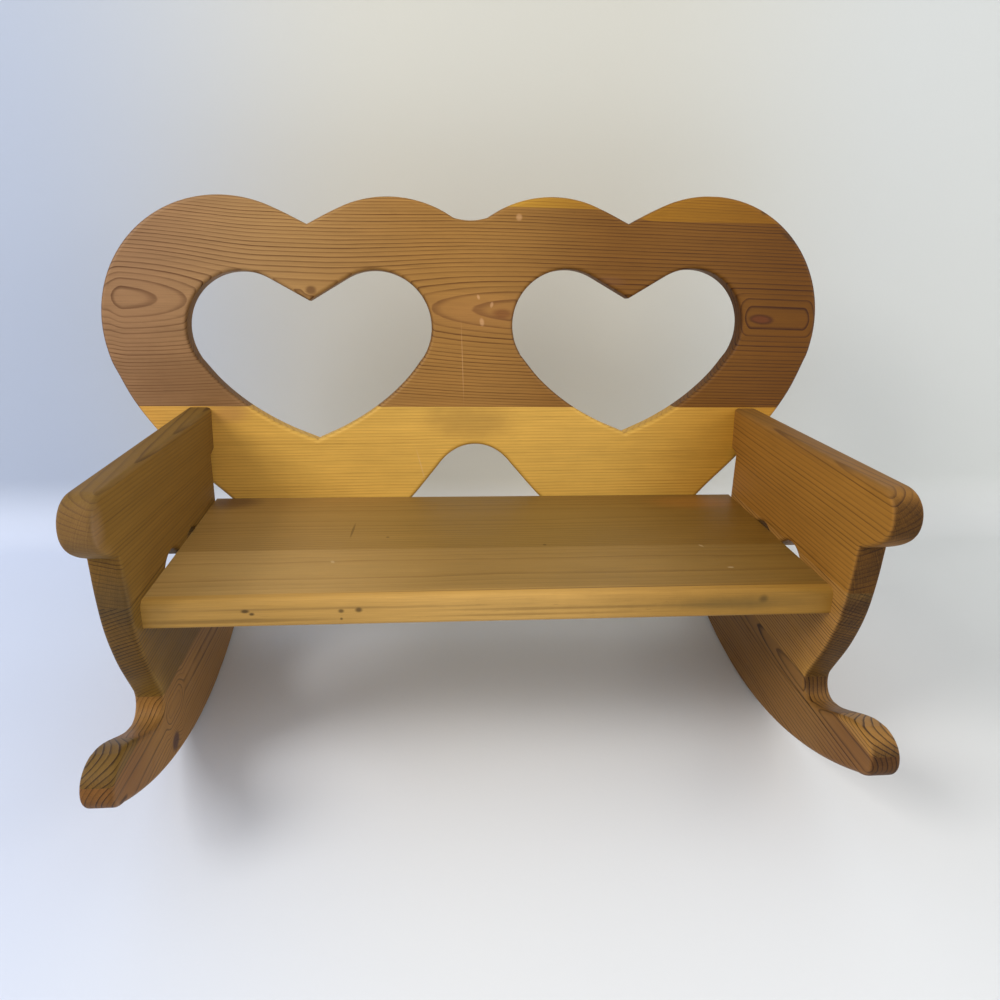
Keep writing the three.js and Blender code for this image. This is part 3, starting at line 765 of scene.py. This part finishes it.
def turned_shape(tree, sides, rings, circles, length):
    """A cylinder of radius 1 with its places: x, y, z and how far down from its outer end."""
    start = Wire(tree)
    body = start.node("GeometryNodeMeshCylinder", {}, sides, rings, circles, 1.0, length)
    place = start.node("GeometryNodeInputPosition", {})
    x, y, z = place.axis(0), place.axis(1), place.axis(2)
    return body, x, y, z, length / 2 - z


def new_tree(name, sizes):
    """A geometry tree with named sizes, its points and a wire for each size."""
    tree = bpy.data.node_groups.new(name, "GeometryNodeTree")
    tree.interface.new_socket("Points", in_out="INPUT", socket_type="NodeSocketGeometry")
    for size in sizes:
        tree.interface.new_socket(size, in_out="INPUT", socket_type="NodeSocketFloat")
    tree.interface.new_socket("Result", in_out="OUTPUT", socket_type="NodeSocketGeometry")
    points = Wire(tree).node("NodeGroupInput", {}, output="Points")
    given = points.socket.node.outputs
    return tree, points, [Wire(tree, given[size]) for size in sizes]


def finish_tree(tree, points, shape, material):
    """The shape on every point, turned to the point's own way and made of one material."""
    start = Wire(tree)
    way = start.node("GeometryNodeInputNamedAttribute", {"data_type": "FLOAT_VECTOR"}, "way")
    turned = start.node("FunctionNodeAlignRotationToVector", {"axis": "Z"}, None, None, way)
    spread = start.node("GeometryNodeInstanceOnPoints", {}, points, None, shape, None, None,
                        turned, (millimetre, millimetre, millimetre))
    real = start.node("GeometryNodeRealizeInstances", {}, spread)
    made = start.node("GeometryNodeSetMaterial", {}, real, None, material)
    start.node("NodeGroupOutput", {}, made)


def set_on_points(name, tree, sizes, places, ways, material, slot, nodes):
    """One piece made of a tree's shape at places that face the given ways."""
    mesh = bpy.data.meshes.new(name)
    mesh.from_pydata(places, [], [])
    attribute = mesh.attributes.new("way", "FLOAT_VECTOR", "POINT")
    for item, way in zip(attribute.data, ways):
        item.vector = way
    points = set_down(name, mesh)
    modifier = points.modifiers.new("shape", "NODES")
    modifier.node_group = tree
    for item in tree.interface.items_tree:
        if item.name in sizes:
            modifier[item.identifier] = sizes[item.name]
    ready = points.evaluated_get(bpy.context.evaluated_depsgraph_get())
    result = bpy.data.meshes.new_from_object(ready)
    shape = bmesh.new()
    shape.from_mesh(result)
    points.modifiers.remove(modifier)
    for data, owner in ((points, bpy.data.objects), (mesh, bpy.data.meshes),
                        (result, bpy.data.meshes)):
        owner.remove(data)
    piece(name, shape, Matrix.Identity(3), material, slot, *nodes)


steel, coat = blank_material("zinc_screw")
metal_at = coat.millimetres()
dull = metal_at.noise((0.6, 0.6, 0.6), shift=3.0, detail=4.0)
scratch = metal_at.noise((0.2, 4.0, 4.0), shift=7.0)
tarnish = dull.within(-0.2, 0.9).mixed(light("b9b6a4"), light("7d7664"))
scored = coat.node("ShaderNodeBump", {}, scratch_strength, scratch_depth, 1.0, scratch)
rough = zinc_rough + dull * dull_rough + scratch * scratch_rough
metal = coat.node("ShaderNodeBsdfPrincipled", {}, named={
    "Base Color": tarnish, "Metallic": 1.0, "Roughness": rough, "Normal": scored})
coat.node("ShaderNodeOutputMaterial", {}, metal)

plug_middles = [middle(node) for node in plug_nodes]
ways = [(plug - middle(screw)).normalized() for plug, screw in zip(plug_middles, screw_nodes)]
levels = []
for start, way, node in zip(plug_middles, ways, screw_nodes):
    along = [(v.co - start).dot(way) for v in frame["nodes"][node].data.vertices]
    levels.append((min(along), max(along)))
screw_middles = [start + way * (low + high) / 2
                 for start, way, (low, high) in zip(plug_middles, ways, levels)]
screw_length = (levels[0][1] - levels[0][0]) / millimetre


def across(node):
    """The length along x and the radius of a fastener that lies along x, in millimetres."""
    low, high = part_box(node)
    return (high[0] - low[0]) / millimetre, (high[1] - low[1]) / 2 / millimetre


screw_head = across(screw_nodes[0])[1]
plug_height, plug_radius = across(plug_nodes[0])

screw_sizes = {"Length": screw_length, "Head radius": screw_head, "Core radius": screw_core,
               "Head height": head_height, "Thread depth": thread_depth,
               "Thread pitch": thread_pitch, "Tip length": tip_length}
screw_tree, points, wires = new_tree("wood_screw", screw_sizes)
length, head, core, height, deep, pitch, tip = wires
body, x, y, z, down = turned_shape(screw_tree, screw_sides, screw_rings, 1, length)
cone = core.math("MAXIMUM", 1 - down / height, 0.0) * (head - core)
point = core.math("MINIMUM", (length - down) / tip, 1.0)
round_by = y.math("ARCTAN2", y, x) / (2 * math.pi)
winding = down / pitch + round_by
winding = winding.math("FRACT", winding)
ridge = (1 - abs(winding * 2 - 1)) ** 2 * deep
shank = length * shank_share
threaded = ridge * down.window(shank, shank + thread_rise, length - thread_runout, length)
girth = (core + cone) * point + threaded
shaped = body.node("ShaderNodeCombineXYZ", {}, x * girth, y * girth, z)
screw = body.node("GeometryNodeSetPosition", {}, body, None, shaped)
for size in ((screw_head * recess_reach, recess_width, 2 * recess_depth),
             (recess_width, screw_head * recess_reach, 2 * recess_depth)):
    blade = body.node("GeometryNodeMeshCube", {}, size)
    lifted = body.node("ShaderNodeCombineXYZ", {}, 0.0, 0.0, length / 2)
    blade = body.node("GeometryNodeTransform", {}, blade, lifted)
    screw = body.node("GeometryNodeMeshBoolean", {"operation": "DIFFERENCE"}, screw, blade)
finish_tree(screw_tree, points, screw, steel)
set_on_points("screws", screw_tree, screw_sizes, screw_middles, ways, steel, "steel_screw",
              screw_nodes)

plug_chamfer = 0.35
plug_crown = 0.12
plug_stand = 0.3
plug_sides, plug_rings, plug_circles = 40, 12, 5
end_skin = 0.001
top_skin = 0.02
plug_sizes = {"Height": plug_height, "Radius": plug_radius, "Chamfer": plug_chamfer,
              "Crown": plug_crown}
plug_tree, points, (height, radius, chamfer, crown) = new_tree("plug", plug_sizes)
body, x, y, z, down = turned_shape(plug_tree, plug_sides, plug_rings, plug_circles, height)
ends = down.window(-end_skin, chamfer, height - chamfer, height + end_skin)
girth = radius - (1 - ends) * chamfer
off = x * x + y * y
fallen = off * crown * down.within(top_skin, 0.0)
shaped = body.node("ShaderNodeCombineXYZ", {}, x * girth, y * girth, z - fallen)
plug = body.node("GeometryNodeSetPosition", {}, body, None, shaped)
plug_pine = pine("plug_pine", side_turn, (0, 0, 0), pith=(400, 0.08, 0), rings=(0.62, 1.0, 0.0),
                 early="a07443", late="5f3d1c", seed=12.4, line=0.7)
finish_tree(plug_tree, points, plug, plug_pine)
plug_places = [spot + way * plug_stand * millimetre for spot, way in zip(plug_middles, ways)]
set_on_points("plugs", plug_tree, plug_sizes, plug_places, ways, plug_pine, "pine_plug",
              plug_nodes)


# Floor and light: a white table that runs up into a pale backdrop of white card, seen through from
# behind so that the bench shows from every side, and a plane that carries the table on all round.
# The stronger lamp stands in front at the left of the picture and the weaker one at its right.

table_reach = 3.0
table_front = -2.0
table_drop = 0.0005
backdrop_set = 0.30
sweep_radius = 0.06
sweep_steps = 16
backdrop_height = 2.0
card_roughness = 0.8
card_grain = 260
dent_strength, dent_depth = 0.1, 0.0003
bench_middle = (0, 0, 0.15)
room_brightness = 0.81

profile = [(table_front, 0.0)]
for i in range(sweep_steps + 1):
    angle = i / sweep_steps * math.pi / 2
    profile.append((backdrop_set - sweep_radius + sweep_radius * math.sin(angle),
                    sweep_radius - sweep_radius * math.cos(angle)))
profile.append((backdrop_set, backdrop_height))
corners = [(x, y, z) for y, z in profile for x in (-table_reach, table_reach)]
strips = [(2 * i, 2 * i + 1, 2 * i + 3, 2 * i + 2) for i in range(len(profile) - 1)]
rim = [(x * table_reach, y * table_reach, -table_drop)
       for x, y in ((-1, -1), (1, -1), (1, 1), (-1, 1))]


def shaded_across(sideways, left, first, middle, second, right):
    """A colour that changes twice from the left to the right, over two stretches in metres, which
    paints light and shade across the card.
    """
    tone = sideways.within(*first).mixed(light(left), light(middle))
    return sideways.within(*second).mixed(tone, light(right))


card, paper = blank_material("white_card")
spot = paper.node("ShaderNodeTexCoord", {}, output="Object")
# Painted light on the card: the wall is darker and bluish at the left as painted shade and warm
# behind the bench as painted bounce light; the floor is bluish at the left as painted window light
# and darker at the right as painted shade.
wall = shaded_across(spot.axis(0), "b6bfcf", (-0.45, -0.05), "d8d6ca", (0.12, 0.45), "d8dbd9")
floor = shaded_across(spot.axis(0), "d2dbee", (-0.4, 0.0), "e6e8ea", (0.2, 0.6), "cfd2d2")
shown = spot.axis(2).within(0.0, sweep_radius).mixed(floor, wall)
fleck = spot.noise((card_grain, card_grain, card_grain), shift=2.0)
dented = paper.node("ShaderNodeBump", {}, dent_strength, dent_depth, 1.0, fleck)
matt = paper.node("ShaderNodeBsdfPrincipled", {}, named={
    "Base Color": shown, "Roughness": card_roughness, "Normal": dented})
clear = paper.node("ShaderNodeBsdfTransparent", {})
behind = paper.node("ShaderNodeNewGeometry", {}, output="Backfacing")
either = paper.node("ShaderNodeMixShader", {}, behind, matt, clear)
paper.node("ShaderNodeOutputMaterial", {}, either)
for name, places, faces in (("backdrop", corners, strips), ("table", rim, [(0, 1, 2, 3)])):
    sheet = bpy.data.meshes.new(name)
    sheet.from_pydata(places, [], faces)
    sheet.materials.append(card)
    set_down(name, sheet)
bpy.data.meshes["backdrop"].shade_smooth()

room = bpy.data.worlds.new("room")
room.use_nodes = True
air = room.node_tree.nodes["Background"]
air.inputs["Color"].default_value = light("f2f5fa")
air.inputs["Strength"].default_value = room_brightness
bpy.context.scene.world = room


def lamp(name, place, size, watts, colour):
    """A square soft lamp at a place, turned to the bench."""
    data = bpy.data.lights.new(name, "AREA")
    data.size = size
    data.energy = watts
    data.color = light(colour)[:3]
    made = set_down(name, data)
    made.location = place
    made.rotation_euler = (Vector(place) - Vector(bench_middle)).to_track_quat("Z", "Y").to_euler()


lamp("window", (-1.6, -0.85, 1.6), size=0.9, watts=27, colour="fbf7f2")
lamp("fill", (1.7, -0.8, 1.1), size=1.2, watts=10, colour="fff6ea")


# The camera stands where the photograph was taken, a little left of the middle and above the seat,
# worked out from the bench's square joints.

photo_focal_pixels = 800
photo_pixels = 1000
sensor = 36
stand_from_seat = Vector((-0.04687, -0.45950, 0.22420))
yaw, pitch, roll = 0.0975, 0.3330, -0.0234

seat_low, seat_high = reach(seat_nodes.values(), side_turn)
left_inner = reach(["left_leg_board"], side_turn)[1].z
right_inner = reach(["right_leg_board"], side_turn)[0].z
front_edge = Vector((seat_low.x, seat_high.y, (left_inner + right_inner) / 2))
bench_origin = side_turn.inverted() @ front_edge
bench_axes = Matrix((Vector((1, 0, 0)), side_turn[0], side_turn[1])).transposed()
ahead = Vector((math.sin(yaw) * math.cos(pitch), math.cos(yaw) * math.cos(pitch), -math.sin(pitch)))
level_right = Vector((math.cos(yaw), -math.sin(yaw), 0))
level_down = ahead.cross(level_right)
right = math.cos(roll) * level_right + math.sin(roll) * level_down
down = -math.sin(roll) * level_right + math.cos(roll) * level_down
lens = bpy.data.cameras.new("camera")
lens.sensor_width = sensor
lens.lens = sensor * photo_focal_pixels / photo_pixels
camera = set_down("camera", lens)
look = bench_axes @ Matrix((right, -down, -ahead)).transposed()
stand = bench_origin + bench_axes @ stand_from_seat
camera.matrix_world = Matrix.Translation(stand) @ look.to_4x4()
bpy.context.scene.camera = camera
bpy.context.scene.view_settings.view_transform = "Standard"
